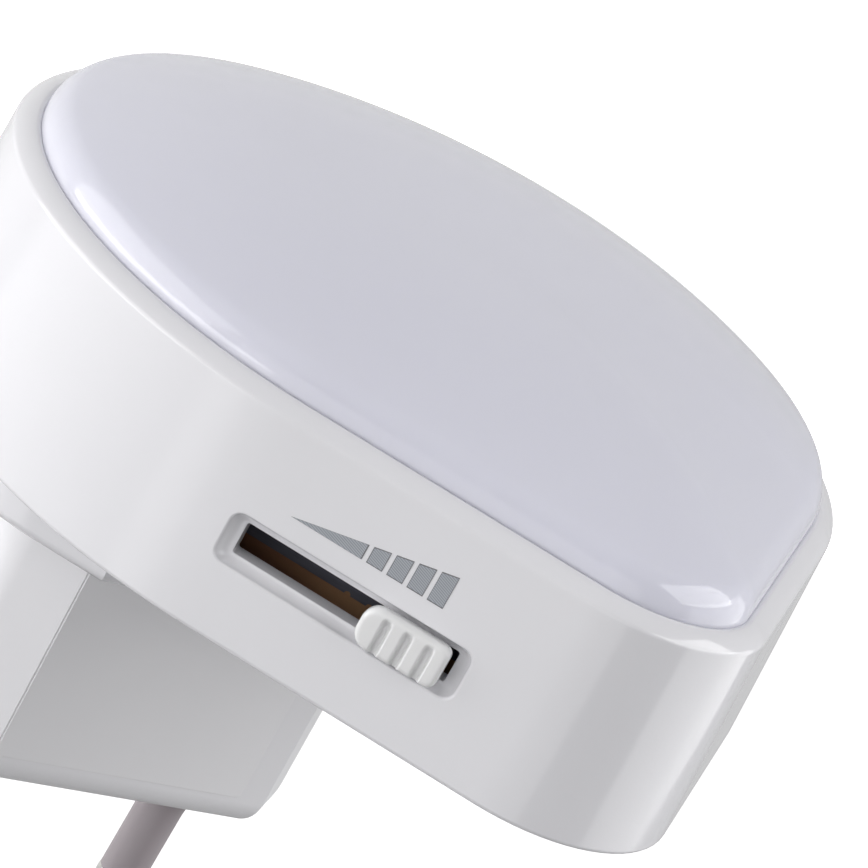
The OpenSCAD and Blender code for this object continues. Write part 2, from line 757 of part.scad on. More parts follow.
front_housing();
diffuser_lens();
rear_cover();
cover_screws();
plug_body();
pin_carrier();
pin_left();
pin_right();
pin_sleeve_left();
pin_sleeve_right();
pin_lugs();
plug_screws();
rating_plate();
reflector_tray();
led_board();
led_chips();
led_board_screws();
slider_knob();
slider_lever();
wiper_carriage();
wiper_spring();
potentiometer_case();
potentiometer_board();
carbon_track();
potentiometer_terminals();
potentiometer_screws();
dimmer_scale();
power_board();
power_board_screws();
film_capacitor();
reservoir_capacitor();
bridge_rectifier();
fusible_resistor();
discharge_resistor();
live_wire();
neutral_wire();
led_wires();
dimmer_wires();
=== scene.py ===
"""Looks of a plug-in night light: a drop-shaped head with a domed opal diffuser and a slide
dimmer, on a two-pin plug body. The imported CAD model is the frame; all lengths here are metres."""
import math

import bmesh
import bpy
from mathutils import Matrix, Vector


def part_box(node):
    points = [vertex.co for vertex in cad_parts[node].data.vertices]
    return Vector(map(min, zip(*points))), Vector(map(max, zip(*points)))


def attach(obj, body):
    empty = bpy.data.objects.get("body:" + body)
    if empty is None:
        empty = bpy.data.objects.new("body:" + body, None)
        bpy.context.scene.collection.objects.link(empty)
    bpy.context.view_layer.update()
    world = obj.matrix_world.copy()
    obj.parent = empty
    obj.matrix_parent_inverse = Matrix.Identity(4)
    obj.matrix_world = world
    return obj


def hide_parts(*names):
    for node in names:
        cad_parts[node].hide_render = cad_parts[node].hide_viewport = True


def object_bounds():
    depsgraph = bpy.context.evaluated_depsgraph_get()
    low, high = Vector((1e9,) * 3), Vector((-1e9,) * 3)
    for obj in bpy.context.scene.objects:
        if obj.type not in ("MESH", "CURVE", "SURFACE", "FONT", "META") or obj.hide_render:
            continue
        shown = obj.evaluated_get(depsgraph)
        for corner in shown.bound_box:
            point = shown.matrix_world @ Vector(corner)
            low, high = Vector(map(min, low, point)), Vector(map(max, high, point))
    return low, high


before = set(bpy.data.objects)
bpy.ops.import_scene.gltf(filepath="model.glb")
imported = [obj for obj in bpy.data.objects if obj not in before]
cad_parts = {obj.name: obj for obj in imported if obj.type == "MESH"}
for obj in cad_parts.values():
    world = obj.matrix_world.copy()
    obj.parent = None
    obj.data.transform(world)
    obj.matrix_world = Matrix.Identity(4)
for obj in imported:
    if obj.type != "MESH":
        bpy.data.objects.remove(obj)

MM = 0.001
CAD_BOX = [list(corner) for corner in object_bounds()]

# ---------------------------------------------------------------- sizes

housing_lo, housing_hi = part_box("front_housing")
label_lo, label_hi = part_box("rating_plate")

BACK_Y = housing_hi.y                  # back of the head
FACE_Y = housing_lo.y                  # front edge of the housing
HEAD_T = BACK_Y - FACE_Y
LENS_BACK_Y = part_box("diffuser_lens")[1].y
PLINTH_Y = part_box("rear_cover")[1].y   # rear face of the plinth

COVER_T = 1.2 * MM
FLOOR_Y = BACK_Y - COVER_T             # inside of the back plate
DRAFT = 0.9 * MM                       # lean of the wall over the head's whole thickness
BACK_R = 0.4 * MM                      # rounding of the wall's back edge
BACK_LEAN = DRAFT * BACK_R / HEAD_T
COVER_IN = 1.1 * MM                    # inset of the recess that the back plate sits in
RIM_W = 1.8 * MM
# lean of the rim in degrees, from the diffuser out to the wall
RIM_FALL, RIM_TILT, RIM_BEND, WALL_TILT = -35, 19, 40, 87
CREST_R = 0.5 * MM                     # rounding of the rim beside the diffuser
CREST_DROP = 0.085 * MM                # how far its top stays below the face
CORNER_R = 0.5 * MM
CAVITY = DRAFT + RIM_W
FIT = 0.1 * MM
SEAM = 0.006 * MM                      # gap round the diffuser and round the label
LENS_T = 1.6 * MM
SHOULDER_R = 2.7 * MM
SHOULDER_END = 65                      # degrees, where the shoulder runs into the dome

HEAD_R = (housing_hi.x - housing_lo.x) / 2 + BACK_LEAN
HEAD_UP = housing_lo.z + HEAD_R - BACK_LEAN
TIP_R = (math.sqrt(2) * HEAD_R - (housing_hi.z + BACK_LEAN - HEAD_UP)) / (math.sqrt(2) - 1)
LEDGE_T = 1.5 * MM
LEDGE_W = 1.4 * MM
BOARD_T = 1.2 * MM

PLUG_FLAT = 26.1 * MM
PLUG_T = 13.7 * MM
PLUG_END_R = 5 * MM
PLUG_EDGE_R = 2.8 * MM
PLUG_WALL = 1.5 * MM
PLUG_FLOOR = 2 * MM
PLINTH_GROW = 5 * MM
PLINTH_WALL = 1.8 * MM
PLINTH_FLOOR = 2.6 * MM
FLANGE_GROW = 2.9 * MM
PIN_GAP = 18.6 * MM
PIN_LEAN = math.atan(0.55 / 19)
PIN_D = 4 * MM
PIN_LEN = 19 * MM
SLEEVE_LEN = 10 * MM
SLEEVE_D = 3.9 * MM
FLARE_D = 4.4 * MM
CORE_D = 2.8 * MM

SLOT_UP = 7.3 * MM
SLOT_ALONG = 8.6 * MM
SLOT_LEN = 16.9 * MM
SLOT_W = 2.4 * MM
SLOT_R = 0.2 * MM
HOLLOW_DEPTH = 0.9 * MM
HOLLOW_BORDER = 0.8 * MM
HOLLOW_END = 1.2 * MM
KNOB_LEN = 6.6 * MM
KNOB_W = 3.3 * MM
KNOB_LOW_R = 1.3 * MM                  # its corners at the lower and at the upper end
KNOB_HIGH_R = 0.7 * MM
KNOB_PROUD = 1.0 * MM
KNOB_BACK = 0.1 * MM
RIB_PITCH = 1.65 * MM
RIB_SHIFT = 0.2 * MM
FLAT_R = HEAD_R - DRAFT * SLOT_UP / HEAD_T

SCREW_HEAD_R = 2.1 * MM
SCREW_WELL_R = 2.2 * MM
SCREW_WELL_T = 1.6 * MM
WELL_EDGE = 0.2 * MM                   # bevel round the well's mouth
SCREW_IN = 3.3 * MM                    # from the head's hollow to a cover screw
LOW_SCREW_ANGLE = 20

ARC_STEP = 2.5

FOOT_R = 0.15 * MM                     # small softened edges
DOME_RISE = 4.59 * MM
DOME_POWER = 3
DOME_RINGS = 28
PLATE_R = 0.2 * MM
PAST = 1 * MM                          # how far a cutter reaches past a face
PLINTH_FOOT_R = 0.4 * MM
PLINTH_EDGE_R = 0.8 * MM
FLANGE_T = 1.4 * MM
LABEL_R = 0.4 * MM
LABEL_EDGE = 0.05 * MM
COLLAR_AT = 6.1 * MM
COLLAR_T = 0.7 * MM
COLLAR_R = 2.8 * MM
PIN_TAIL = 7.8 * MM
FLARE_LEN = 3 * MM
HOLLOW_R = 1.0 * MM
LIP_R = 0.2 * MM
SLOT_EDGE_R = 0.07 * MM
KNOB_ALONG = SLOT_ALONG + SLOT_LEN / 2 - 0.3 * MM - KNOB_LEN / 2
KNOB_EDGE_R = 0.5 * MM
GROOVE_DEPTH = 0.65 * MM
GROOVE_FLOOR = 0.12 * MM               # half widths of a groove at its floor and at its top
GROOVE_TOP = 0.45 * MM
GROOVE_FADE = (1.1 * MM, 0.25 * MM)    # from the room side, where a groove starts to run out and ends
GROOVE_BLEND = 0.12 * MM
STEM_LEN = 4 * MM
STEM_W = 1.8 * MM
STEM_DEPTH = 2.5 * MM
SCALE_START = 2.6 * MM
SCALE_END = 14.6 * MM
SCALE_UP = 10.85 * MM
SCALE_SLOPE = 0.21
SCALE_GAP = 0.35 * MM
BAR_FROM = 8.55 * MM
BAR_COUNT = 4
PRINT_T = 0.02 * MM
RIM_LINE = 0.07 * MM
HALFTONE = 0.16 * MM
SCREW_POST_T = 2.6 * MM
SCREW_POST_R = 3 * MM
SCREW_POST_IN = 0.5 * MM               # how far a post sinks into the plate
SCREW_HOLE_R = 1.2 * MM
SCREW_SHANK_R = 1.1 * MM
SCREW_LEN = 8 * MM
RECESS_W = 0.55 * MM                   # width of the cross recess

CAMERA_PLACE = (0.18706, -0.15370, 0.25150)
CAMERA_BACK = (0.58866, -0.34382, 0.73162)
CAMERA_UP = (0.19209, -0.81962, -0.53974)
CAMERA_LENS = 178.9
FLOOR_SIZE = 6
FLOOR_DROP = 0.9
FLOOR_GLOW = 0.32
WORLD_STRENGTH = 0.3
WORLD_TONES = ((0.22, 1.0), (0.4, 0.19), (0.62, 0.19), (0.8, 0.02))   # (height, tone) of the walls around
LIGHT_DISTANCE = 0.8
# name, (right, up, back) as the camera sees it, width, height, watts
LIGHTS = [("side", (-0.971, 0.0, 0.238), 1.2, 0.4, 1.05), ("strip", (-0.882, 0.288, 0.372), 1.3, 0.15, 2.1),
          ("high", (-0.7, 0.6, 0.3), 0.9, 0.7, 3.3), ("tip", (0.959, 0.104, 0.266), 0.9, 0.55, 4.5),
          ("low", (0.9, -0.41, -0.14), 1.0, 0.7, 2.9), ("fill", (-0.3, -0.25, 0.92), 0.9, 0.9, 2.35)]


# ---------------------------------------------------------------- shapes

def head_mid():
    """Middle of the drop outline as (x, z)."""
    return Vector((0, HEAD_UP + (math.sqrt(2) * (HEAD_R - TIP_R) + TIP_R - HEAD_R) / 2))


def drop_outline(inset):
    """Drop outline of the head, moved in: the big arc, then the arc round the tip."""
    r, t = HEAD_R - inset, TIP_R - inset
    tip_z = HEAD_UP + math.sqrt(2) * (r - t)
    big = [135 + ARC_STEP * i for i in range(int(270 / ARC_STEP) + 1)]
    small = [45 + 2 * ARC_STEP * i for i in range(int(45 / ARC_STEP) + 1)]
    body = [(r * math.cos(math.radians(a)), HEAD_UP + r * math.sin(math.radians(a))) for a in big]
    tip = [(t * math.cos(math.radians(a)), tip_z + t * math.sin(math.radians(a))) for a in small]
    return body + tip


def drop_ring(inset, y, shrink=1.0):
    mid = head_mid()
    return [(mid.x + shrink * (x - mid.x), y, mid.y + shrink * (z - mid.y)) for x, z in drop_outline(inset)]


def plug_outline(grow, end_steps=14):
    """Outline of the plug as (x, z): flats, 45 degree chamfers and round ends, grown outwards."""
    h = PLUG_T / 2 + grow
    f = PLUG_FLAT / 2 + grow * math.tan(math.radians(22.5))
    r = PLUG_END_R + grow
    e = PLUG_FLAT / 2 + PLUG_T / 2 - math.sqrt(2) * PLUG_END_R
    half = []
    for i in range(end_steps + 1):
        a = math.radians(-45 + 90 * i / end_steps)
        half.append((e + r * math.cos(a), r * math.sin(a)))
    right = [(f, -h)] + half + [(f, h)]
    return right + [(-x, -z) for x, z in right]


def plug_ring(grow, y):
    return [(x, y, z) for x, z in plug_outline(grow)]


def round_rect(length, width, r, steps=8):
    """Rounded rectangle as (along, across), anticlockwise."""
    points = []
    for cx, cz, start in ((1, 1, 0), (-1, 1, 90), (-1, -1, 180), (1, -1, 270)):
        for i in range(steps + 1):
            a = math.radians(start + 90 * i / steps)
            points.append((cx * (length / 2 - r) + r * math.cos(a), cz * (width / 2 - r) + r * math.sin(a)))
    return points


def arc(r, start, end, steps):
    """Points (cos, sin) times r along an arc, in degrees."""
    angles = [math.radians(start + (end - start) * i / steps) for i in range(steps + 1)]
    return [(r * math.cos(a), r * math.sin(a)) for a in angles]


def new_piece(name, bm, smooth_angle=35):
    """A mesh object from a bmesh, with outward faces and smooth shading up to an angle."""
    bmesh.ops.remove_doubles(bm, verts=bm.verts, dist=1e-7)
    bmesh.ops.recalc_face_normals(bm, faces=bm.faces)
    mesh = bpy.data.meshes.new(name)
    bm.to_mesh(mesh)
    bm.free()
    mesh.shade_smooth()
    mesh.set_sharp_from_angle(angle=math.radians(smooth_angle))
    piece = bpy.data.objects.new(name, mesh)
    bpy.context.scene.collection.objects.link(piece)
    return piece


def loft(bm, rings, closed=False, caps=True):
    """Skins a list of rings with the same number of points. closed joins the last to the first."""
    rows = [[bm.verts.new(p) for p in ring] for ring in rings]
    n = len(rows[0])
    spans = list(zip(rows, rows[1:])) + ([(rows[-1], rows[0])] if closed else [])
    for low, high in spans:
        for i in range(n):
            bm.faces.new((low[i], low[(i + 1) % n], high[(i + 1) % n], high[i]))
    if caps and not closed:
        bm.faces.new(rows[0])
        bm.faces.new(rows[-1])
    return rows


def turned(bm, profile, place, steps=48):
    """A solid of revolution from (radius, height) points, with poles where the radius is 0."""
    rings = []
    for r, h in profile:
        if r == 0:
            rings.append([bm.verts.new(place @ Vector((0, 0, h)))])
        else:
            rings.append([bm.verts.new(place @ Vector((r * math.cos(math.tau * i / steps),
                                                       r * math.sin(math.tau * i / steps), h)))
                          for i in range(steps)])
    for low, high in zip(rings, rings[1:]):
        for i in range(steps):
            j = (i + 1) % steps
            quad = [low[i % len(low)], low[j % len(low)], high[j % len(high)], high[i % len(high)]]
            corners = [v for k, v in enumerate(quad) if v not in quad[:k]]
            bm.faces.new(corners)


def evaluated(piece):
    """Applies a piece's modifiers and returns it with a plain mesh."""
    depsgraph = bpy.context.evaluated_depsgraph_get()
    mesh = bpy.data.meshes.new_from_object(piece.evaluated_get(depsgraph))
    piece.modifiers.clear()
    old = piece.data
    piece.data = mesh
    bpy.data.meshes.remove(old)
    mesh.name = piece.name
    return piece


def cut(piece, *cutters):
    """Takes the cutters out of a piece and removes them."""
    for cutter in cutters:
        m = piece.modifiers.new("cut", "BOOLEAN")
        m.operation = "DIFFERENCE"
        m.solver = "EXACT"
        m.object = cutter
    evaluated(piece)
    for cutter in cutters:
        bpy.data.objects.remove(cutter)
    return piece


def join(piece, *others):
    """Fuses other pieces into a piece."""
    for other in others:
        m = piece.modifiers.new("join", "BOOLEAN")
        m.operation = "UNION"
        m.solver = "EXACT"
        m.object = other
    evaluated(piece)
    for other in others:
        bpy.data.objects.remove(other)
    return piece


def even_normals(piece, smooth_angle=35):
    """Lets the large faces set the shading, so that small roundings beside them stay crisp."""
    piece.data.set_sharp_from_angle(angle=math.radians(smooth_angle))
    m = piece.modifiers.new("even", "WEIGHTED_NORMAL")
    m.weight = 80
    m.keep_sharp = True
    return evaluated(piece)


def slot_place(depth, along, across):
    """A point in the slot's own frame: depth into the wall, along it to the tip, across to the room."""
    out = FLAT_R - depth
    x, z = (out - along) / math.sqrt(2), (out + along) / math.sqrt(2)
    return Vector((x, BACK_Y - SLOT_UP - across, HEAD_UP + z))


def wall_lean(across):
    """How far the wall has leaned in at a height above the middle of the slot."""
    return DRAFT * across / HEAD_T


# ---------------------------------------------------------------- materials

class Wire:
    """A shader socket that can stand in an expression."""

    def __init__(self, finish, socket):
        self.finish = finish
        self.socket = socket

    def math(self, operation, *others, clamp=False):
        return self.finish.node("ShaderNodeMath", "Value", {"operation": operation, "use_clamp": clamp},
                                self, *others)

    def __add__(self, other):
        return self.math("ADD", other)

    def __sub__(self, other):
        return self.math("SUBTRACT", other)

    def __mul__(self, other):
        return self.math("MULTIPLY", other)

    def __rsub__(self, other):
        return self.finish.node("ShaderNodeMath", "Value", {"operation": "SUBTRACT"}, other, self)

    __radd__ = __add__
    __rmul__ = __mul__

    def step(self, low, high):
        """0 below low and 1 above high, with a soft slope between."""
        return self.finish.node("ShaderNodeMapRange", "Result", {"interpolation_type": "SMOOTHSTEP"},
                                self, low, high, 0.0, 1.0)


class Finish:
    """A material round one Principled shader. Uniform values go straight onto its sockets."""

    def __init__(self, name, **uniform):
        self.material = bpy.data.materials.new(name)
        self.material.use_nodes = True
        self.tree = self.material.node_tree
        self.shader = self.tree.nodes["Principled BSDF"]
        for socket, value in uniform.items():
            self.put(socket.replace("_", " ").title(), value)

    def node(self, kind, output, settings, *inputs, **named):
        """Adds a node: its settings first, then its inputs in order or by name."""
        made = self.tree.nodes.new(kind)
        for key, value in settings.items():
            setattr(made, key, value)
        slots = [s for s in made.inputs if s.enabled]
        by_name = [(made.inputs[key.replace("_", " ")], value) for key, value in named.items()]
        for socket, value in [*zip(slots, inputs), *by_name]:
            self.join(socket, value)
        return Wire(self, next(s for s in made.outputs if s.name == output and s.enabled))

    def join(self, socket, value):
        if isinstance(value, Wire):
            self.tree.links.new(value.socket, socket)
        elif isinstance(value, tuple) and len(value) == 3 and socket.type == "RGBA":
            socket.default_value = (*value, 1)
        else:
            socket.default_value = value

    def place(self):
        return self.node("ShaderNodeTexCoord", "Object", {})

    def scaled(self, place, scale):
        """A place stretched by a different number along each axis."""
        return self.node("ShaderNodeVectorMath", "Vector", {"operation": "MULTIPLY"}, place, scale)

    def split(self, place):
        x, y, z = (self.node("ShaderNodeSeparateXYZ", axis, {}, place) for axis in "XYZ")
        return x, y, z

    def noise(self, place, size, detail=2.0, roughness=0.5):
        """Noise from 0 to 1, with lumps of about this size."""
        return self.node("ShaderNodeTexNoise", "Fac", {}, Vector=place, Scale=1 / size, Detail=detail,
                         Roughness=roughness)

    def mix(self, share, a, b):
        return self.node("ShaderNodeMix", "Result", {"data_type": "RGBA"}, share, a, b)

    def bump(self, height, distance):
        self.put("Normal", self.node("ShaderNodeBump", "Normal", {}, Height=height, Distance=distance))

    def put(self, socket, value):
        self.join(self.shader.inputs[socket], value)


def moulded(name, color, roughness, grain=0.25 * MM, depth=0.004 * MM, coat=0.0, tint=0.985, **uniform):
    """Moulded plastic: faint flow marks in its colour, and the tool's fine texture."""
    f = Finish(name, roughness=roughness, coat_weight=coat, coat_roughness=0.03, **uniform)
    place = f.place()
    flow = f.noise(place, 14 * MM, detail=3.0)
    speck = f.noise(place, grain * 2, detail=1.0)
    dark = tuple(c * tint for c in color)
    f.put("Base Color", f.mix(flow.step(0.3, 0.7), dark, color))
    f.put("Roughness", roughness + 0.05 * (flow - 0.5) + 0.03 * (speck - 0.5))
    f.bump(f.noise(place, grain, detail=3.0), depth)
    return f


def plated(name, color, roughness, scratch, depth=0.002 * MM, wear=(0.5, 0.45, 0.4)):
    """Plated metal with fine drawn lines, stretched by scratch along each axis, and dull spots."""
    f = Finish(name, metallic=1.0, roughness=roughness)
    place = f.place()
    lines = f.noise(f.scaled(place, scratch), 0.5 * MM, detail=4.0, roughness=0.7)
    cloud = f.noise(place, 2.5 * MM, detail=4.0)
    f.put("Base Color", f.mix(cloud.step(0.55, 0.85) * 0.35, color, wear))
    f.put("Roughness", roughness + 0.18 * (lines - 0.5) + 0.16 * (cloud - 0.45))
    f.bump(lines, depth)
    return f


WHITE = (0.80, 0.795, 0.825)
OPAL = (0.73, 0.73, 0.815)
INK_DARK = (0.27, 0.29, 0.32)
INK_LIGHT = (0.42, 0.44, 0.48)
INK_RIM = (0.17, 0.17, 0.18)
# shaded and lit ends of the painted shade on the potentiometer board
BROWN_SHADED = (0.22, 0.10, 0.05)
BROWN_LIT = (0.42, 0.24, 0.12)
CARBON = (0.10, 0.10, 0.125)


def paint(node, finish):
    """Gives a CAD node its material."""
    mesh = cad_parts[node].data
    mesh.materials.clear()
    mesh.materials.append(finish.material)


def settle(piece, finish, body, slot, *nodes):
    """Finishes a piece: its material, its body and the CAD nodes it stands for. The slot argument is not
    used.
    """
    piece.data.materials.clear()
    piece.data.materials.append(finish.material)
    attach(piece, body)
    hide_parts(*nodes)
    return piece


# ---------------------------------------------------------------- head

def drop_solid(name, rows, closed=False):
    """A piece skinned through drop outlines, one for each (inset, y)."""
    bm = bmesh.new()
    loft(bm, [drop_ring(inset, y) for inset, y in rows], closed=closed)
    return new_piece(name, bm)


def round_solid(name, profile, place, steps=48):
    """A piece turned from (radius, height) points."""
    bm = bmesh.new()
    turned(bm, profile, place, steps)
    return new_piece(name, bm)


def slot_ring(grow, depth, r):
    """Rounded outline of the slot, grown outwards, at a depth below the leaning wall."""
    length = SLOT_LEN + 2 * grow * HOLLOW_END / HOLLOW_BORDER
    return [slot_place(depth + wall_lean(t), SLOT_ALONG + s, t)
            for s, t in round_rect(length, SLOT_W + 2 * grow, r)]


def slot_cutter():
    """The slot with the scooped hollow round it: a soft lip, a cove and a sharp inner edge."""
    steep, flat = 72, 6
    cove_w = (HOLLOW_BORDER - LIP_R * math.sin(math.radians(steep)) / 2 - SLOT_EDGE_R) \
        / (math.sin(math.radians(steep)) - math.sin(math.radians(flat)))
    lip_drop = LIP_R * (1 - math.cos(math.radians(steep)))
    cove_d = (HOLLOW_DEPTH - lip_drop) / (math.cos(math.radians(flat)) - math.cos(math.radians(steep)))
    lip_end = SLOT_EDGE_R + cove_w * (math.sin(math.radians(steep)) - math.sin(math.radians(flat)))
    lip_start = lip_end + LIP_R * math.sin(math.radians(steep))
    path = [(lip_start, -PAST), (lip_start, -0.001 * MM)]
    for i in range(1, 9):
        a = math.radians(steep * i / 8)
        path.append((lip_start - LIP_R * math.sin(a), LIP_R * (1 - math.cos(a))))
    for i in range(1, 11):
        a = math.radians(steep + (flat - steep) * i / 10)
        path.append((lip_end - cove_w * (math.sin(math.radians(steep)) - math.sin(a)),
                     lip_drop + cove_d * (math.cos(a) - math.cos(math.radians(steep)))))
    for i in range(1, 4):
        a = math.radians(90 * i / 3)
        path.append((SLOT_EDGE_R * (1 - math.sin(a)), HOLLOW_DEPTH + SLOT_EDGE_R * (1 - math.cos(a))))
    path.append((0, CAVITY + PAST))
    bm = bmesh.new()
    loft(bm, [slot_ring(u, d, SLOT_R + (HOLLOW_R - SLOT_R) * min(u / HOLLOW_BORDER, 1)) for u, d in path])
    return new_piece("slot_cutter", bm)


def cover_screw_places():
    """Where the three cover screws stand, as (x, z)."""
    r = HEAD_R - CAVITY - SCREW_IN
    a = math.radians(LOW_SCREW_ANGLE)
    top = HEAD_UP + math.sqrt(2) * (HEAD_R - TIP_R) + TIP_R - CAVITY - SCREW_IN
    return [(0, top)] + [(side * r * math.cos(a), HEAD_UP - r * math.sin(a)) for side in (-1, 1)]


def upright(x, z):
    """A turned shape's axis laid along +Y at a place."""
    return Matrix.Translation((x, 0, z)) @ Matrix.Rotation(-math.pi / 2, 4, "X")


def rim_rows():
    """(inset, y) across the rim: rounded beside the diffuser, gently tilted, then a tight corner."""
    fall, tilt, bend, wall = (math.radians(a) for a in (RIM_FALL, RIM_TILT, RIM_BEND, WALL_TILT))
    across = CREST_R * (math.sin(tilt) - math.sin(fall)) + CORNER_R * (math.sin(wall) - math.sin(bend))
    down = CREST_DROP + CREST_R * (1 - math.cos(tilt)) + CORNER_R * (math.cos(bend) - math.cos(wall))
    slope = DRAFT / HEAD_T
    r = (RIM_W - across + slope * down) \
        / (math.sin(bend) - math.sin(tilt) - slope * (math.cos(tilt) - math.cos(bend)))
    rows = [(CAVITY, FACE_Y + CREST_DROP + CREST_R * (1 - math.cos(fall)))]
    arcs = ((CREST_R, fall, tilt, 10), (r, tilt, bend, 8), (CORNER_R, bend, wall, 8))
    for radius, start, end, steps in arcs:
        inset, y = rows[-1]
        for i in range(1, steps + 1):
            a = start + (end - start) * i / steps
            rows.append((inset - radius * (math.sin(a) - math.sin(start)),
                         y + radius * (math.cos(start) - math.cos(a))))
    return rows


def make_housing():
    ledge_y = LENS_BACK_Y + BOARD_T
    rows = [(COVER_IN, FLOOR_Y), (COVER_IN, BACK_Y - FOOT_R), (COVER_IN - FOOT_R, BACK_Y)]
    rows += [(BACK_LEAN + BACK_R - x, BACK_Y - BACK_R + y) for x, y in arc(BACK_R, 90, 0, 6)]
    rows += rim_rows()[::-1]
    rows += [(CAVITY, ledge_y), (CAVITY + LEDGE_W, ledge_y),
             (CAVITY + LEDGE_W, ledge_y + LEDGE_T), (CAVITY, ledge_y + LEDGE_T), (CAVITY, FLOOR_Y)]
    piece = drop_solid("head_shell", rows, closed=True)
    cut(piece, slot_cutter())
    return even_normals(piece)


def lens_rows(inset, base_y, r, steps):
    """(inset, y, shrink) up one side of the diffuser: skirt, shoulder, then the dome."""
    rows = [(inset, LENS_BACK_Y, 1)]
    rows += [(inset + r - x, base_y - y, 1) for x, y in arc(r, 0, SHOULDER_END, steps)]
    edge, edge_y, _ = rows[-1]
    for i in range(1, DOME_RINGS):
        k = 1 - i / DOME_RINGS
        rows.append((edge, edge_y - DOME_RISE * (1 - k ** DOME_POWER), k))
    return rows, Vector((head_mid().x, edge_y - DOME_RISE, head_mid().y))


def make_lens():
    """The diffuser: skirt, rounded shoulder and shallow dome, with its own wall."""
    bm = bmesh.new()
    inner_r = 1 * MM
    outer, outer_pole = lens_rows(CAVITY + SEAM, FACE_Y, SHOULDER_R, 12)
    inner, inner_pole = lens_rows(CAVITY + SEAM + LENS_T, FACE_Y + LENS_T - SHOULDER_R + inner_r, inner_r, 4)
    rows = loft(bm, [drop_ring(*row) for row in inner[::-1] + outer], caps=False)
    for row, pole in ((rows[0], inner_pole), (rows[-1], outer_pole)):
        tip = bm.verts.new(pole)
        for i in range(len(row)):
            bm.faces.new((row[i], row[(i + 1) % len(row)], tip))
    return even_normals(new_piece("diffuser", bm), 60)


# ---------------------------------------------------------------- back

def make_back():
    """Back plate with its inner lip, screw wells and the plinth that takes the plug."""
    lip_y = BACK_Y - SCREW_POST_T
    lip_in, lip_out, edge = CAVITY + LEDGE_W, CAVITY + FIT, COVER_IN + FIT
    rows = [(lip_in, FLOOR_Y), (lip_in, lip_y), (lip_out, lip_y), (lip_out, FLOOR_Y), (edge, FLOOR_Y)]
    rows += [(edge + PLATE_R - x, BACK_Y - PLATE_R + y) for x, y in arc(PLATE_R, 0, 90, 5)]
    piece = drop_solid("back_plate", rows)
    bm = bmesh.new()
    rings = [plug_ring(PLINTH_GROW, FLOOR_Y)]
    rings += [plug_ring(PLINTH_GROW + PLINTH_FOOT_R - x, BACK_Y + PLINTH_FOOT_R - y)
              for x, y in arc(PLINTH_FOOT_R, 90, 0, 5)]
    rings += [plug_ring(PLINTH_GROW - PLINTH_EDGE_R + x, PLINTH_Y - PLINTH_EDGE_R + y)
              for x, y in arc(PLINTH_EDGE_R, 0, 90, 6)]
    loft(bm, rings)
    join(piece, new_piece("plinth", bm))
    for x, z in cover_screw_places():
        top = BACK_Y - SCREW_POST_IN
        post = [(0, lip_y), (SCREW_POST_R, lip_y), (SCREW_POST_R, top), (0, top)]
        join(piece, round_solid("post", post, upright(x, z)))
    cutters = []
    for grow, start, end in ((PLINTH_GROW - PLINTH_WALL, PLINTH_Y - PLINTH_FLOOR, lip_y - PAST),
                             (FIT, PLINTH_Y + PAST, PLINTH_Y - PLINTH_FLOOR - PAST)):
        bm = bmesh.new()
        loft(bm, [plug_ring(grow, start), plug_ring(grow, end)])
        cutters.append(new_piece("opening", bm))
    for x, z in cover_screw_places():
        mouth, well_y = SCREW_WELL_R + WELL_EDGE, BACK_Y - SCREW_WELL_T
        well = [(0, BACK_Y + PAST), (mouth, BACK_Y + PAST), (mouth, BACK_Y),
                (SCREW_WELL_R, BACK_Y - WELL_EDGE), (SCREW_WELL_R, well_y), (SCREW_HOLE_R, well_y),
                (SCREW_HOLE_R, lip_y - PAST), (0, lip_y - PAST)]
        cutters.append(round_solid("well", well, upright(x, z)))
    cut(piece, *cutters)
    return even_normals(piece)


def label_ring(inset, z):
    """Rounded outline of the rating plate, moved in."""
    size, mid = label_hi - label_lo, (label_lo + label_hi) / 2
    outline = round_rect(size.x - 2 * inset, size.y - 2 * inset, LABEL_R)
    return [(mid.x + x, mid.y + y, z) for x, y in outline]


def make_plug():
    """The plug body: soft front edge, chamfered sides, flange in the plinth and hollow for the carrier."""
    flange_y = PLINTH_Y - PLINTH_FLOOR
    end_y = flange_y - FLANGE_T
    rows = [(x - PLUG_EDGE_R, y - PLUG_EDGE_R) for x, y in arc(PLUG_EDGE_R, 90, 0, 10)]
    rows += [(0, flange_y), (FLANGE_GROW, flange_y), (FLANGE_GROW, end_y), (-PLUG_WALL, end_y),
             (-PLUG_WALL, -PLUG_FLOOR)]
    bm = bmesh.new()
    loft(bm, [plug_ring(grow, y) for grow, y in rows])
    piece = new_piece("plug_shell", bm)
    hole = (FLARE_D + FIT) / 2
    bore = [(0, -PAST), (hole, -PAST), (hole, PLUG_FLOOR + PAST), (0, PLUG_FLOOR + PAST)]
    cutters = [round_solid("pin_hole", bore, pin_place(side)) for side in (-1, 1)]
    bm = bmesh.new()
    loft(bm, [label_ring(-SEAM, z) for z in (label_lo.z, PLUG_T)])
    cut(piece, *cutters, new_piece("pocket", bm))
    return even_normals(piece)


def make_label():
    """The bare rating plate, a thin sheet with round corners."""
    rows = [(0, label_lo.z), (0, label_hi.z - LABEL_EDGE), (LABEL_EDGE, label_hi.z)]
    bm = bmesh.new()
    loft(bm, [label_ring(*row) for row in rows])
    return new_piece("rating_label_plate", bm)


# ---------------------------------------------------------------- pins

def pin_place(side):
    """A pin's own frame: its height runs inwards, and it leans towards the other pin outwards."""
    s, c = side * math.sin(PIN_LEAN), math.cos(PIN_LEAN)
    return Matrix(((c, 0, s, side * PIN_GAP / 2), (s, 0, -c, 0), (0, 1, 0, 0), (0, 0, 0, 1)))


